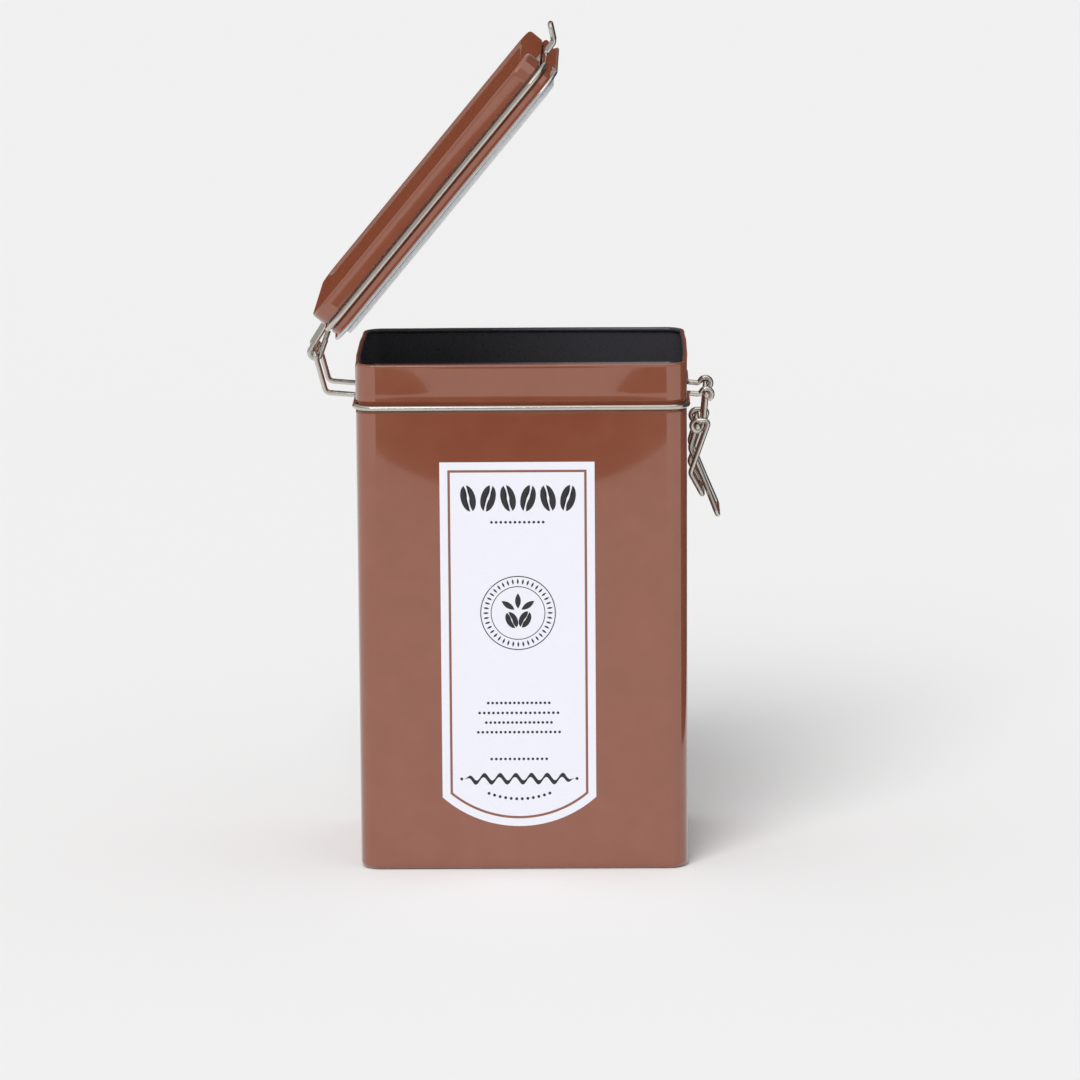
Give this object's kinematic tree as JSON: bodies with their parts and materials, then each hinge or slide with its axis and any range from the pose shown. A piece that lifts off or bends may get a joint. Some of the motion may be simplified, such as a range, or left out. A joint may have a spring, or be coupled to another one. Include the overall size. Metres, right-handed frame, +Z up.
{
  "type": "coffee tin",
  "caption": "Rectangular wire-clasp storage tin with a hinged lid, silicone seal, loose hinge wire and an over-centre bail clasp.",
  "frame": {"origin": "centre of the base, on the surface the tin stands on", "axes": "+Z up, +X towards the clasp, -X towards the hinge, -Y towards the label face"},
  "size_m": [0.1386, 0.0836, 0.2814],
  "materials": {
    "lacquered_tinplate": "gloss brown lacquer",
    "bare_tinplate": "bright rolled tinplate",
    "paper_label": "coated paper",
    "spring_wire": "nickel-plated drawn wire",
    "silicone_seal": "translucent silicone"
  },
  "bodies": {
    "tin": {"body_shell": "lacquered_tinplate", "bottom_plate": "bare_tinplate", "front_label": "paper_label", "body_ring": "spring_wire"},
    "lid": {"lid_shell": "lacquered_tinplate", "lid_liner": "bare_tinplate", "lid_gasket": "silicone_seal", "lid_ring": "spring_wire"},
    "lever": {"clasp_lever": "spring_wire"},
    "link": {"clasp_link": "spring_wire"}
  },
  "joints": [
    {"name": "lid_hinge", "type": "hinge", "parent": "tin", "child": "lid", "pos_m": [-0.0693, 0, 0.1715], "axis": [0, -1, 0], "range_deg": [-50.3, 129.7]},
    {"name": "lever_hinge", "type": "hinge", "parent": "tin", "child": "lever", "pos_m": [0.0618, 0, 0.157], "axis": [0, -1, 0], "range_deg": [0, 170]},
    {"name": "link_hinge", "type": "hinge", "parent": "lever", "child": "link", "pos_m": [0.0588, 0, 0.1461], "axis": [0, -1, 0], "range_deg": [0, 165]}
  ]
}
